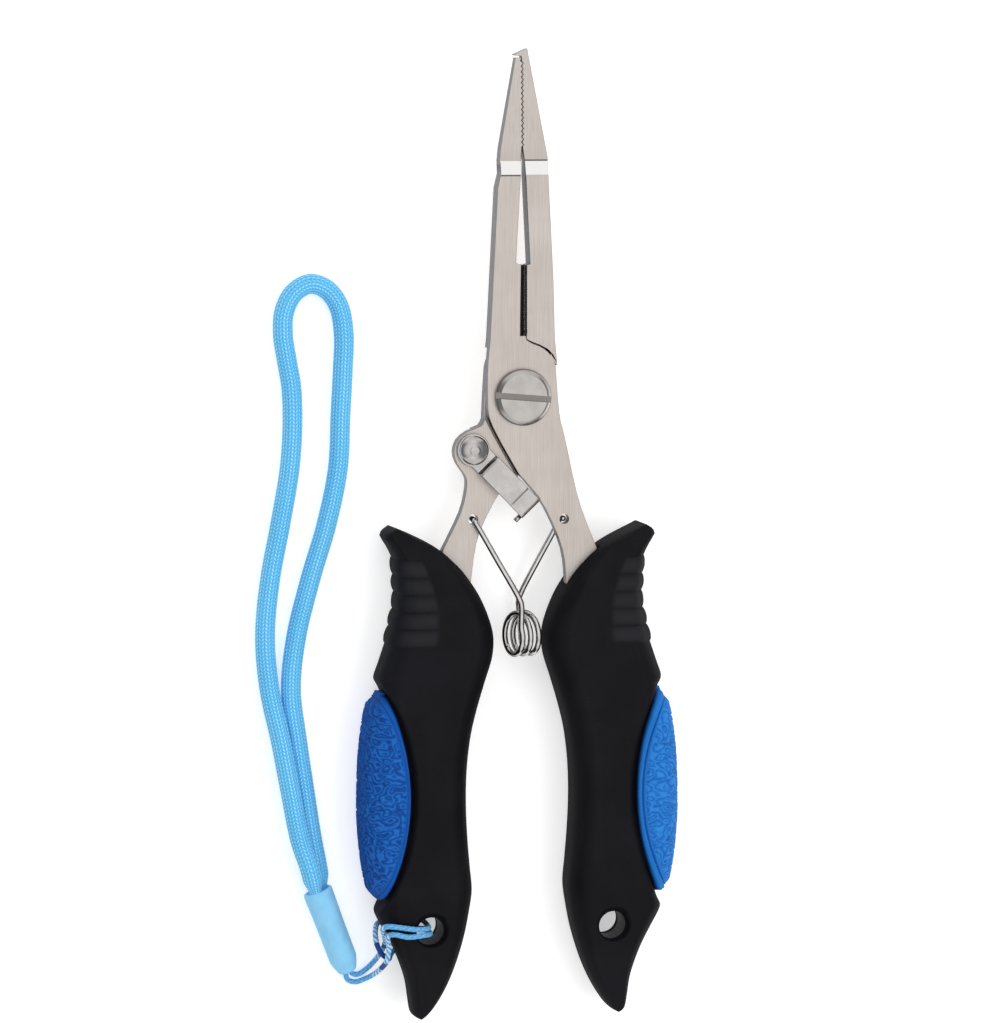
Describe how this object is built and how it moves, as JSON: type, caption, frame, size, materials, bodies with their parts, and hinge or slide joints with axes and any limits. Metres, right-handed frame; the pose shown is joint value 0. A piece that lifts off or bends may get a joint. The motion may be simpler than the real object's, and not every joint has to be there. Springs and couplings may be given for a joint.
{
  "type": "fishing pliers",
  "caption": "Long-nose fishing pliers with ribbed rubber grips, padded handles, a line cutter, a swing-over lock, a torsion spring and a braided wrist strap.",
  "frame": {"origin": "on the flat rest plane under the middle of the pliers' bounding box, strap left out", "axes": "+Y along the pliers towards the jaw tips, +Z out of the flat side that carries the lock and the slotted screw"},
  "size_m": [0.0876, 0.2008, 0.0162],
  "materials": {
    "steel": "satin, brushed along the jaws",
    "bright": "polished",
    "core": "matte",
    "rubber": "satin",
    "pad": "matte, grained",
    "cord": "braided",
    "ferrule": "matte"
  },
  "bodies": {
    "back_body": {"back_half": "steel", "left_grip_core": "core", "left_grip_sleeve": "rubber", "left_grip_pad": "pad", "pivot_screw": "bright", "pivot_nut": "bright", "lock_rivet": "bright", "return_spring": "bright", "wrist_strap": "cord", "strap_ferrule": "ferrule", "tether_cord": "cord"},
    "front_body": {"front_half": "steel", "right_grip_core": "core", "right_grip_sleeve": "rubber", "right_grip_pad": "pad"},
    "lock_body": {"lock_lever": "steel"}
  },
  "joints": [
    {"name": "jaw_hinge", "type": "hinge", "parent": "back_body", "child": "front_body", "pos_m": [0.00065, 0.0287, 0.0073], "axis": [0, 0, 1], "range_deg": [0, 28], "deforming": ["return_spring"]},
    {"name": "lock_swing", "type": "hinge", "parent": "back_body", "child": "lock_body", "pos_m": [-0.00955, 0.0178, 0.0093], "axis": [0, 0, -1], "range_deg": [0, 21]}
  ]
}
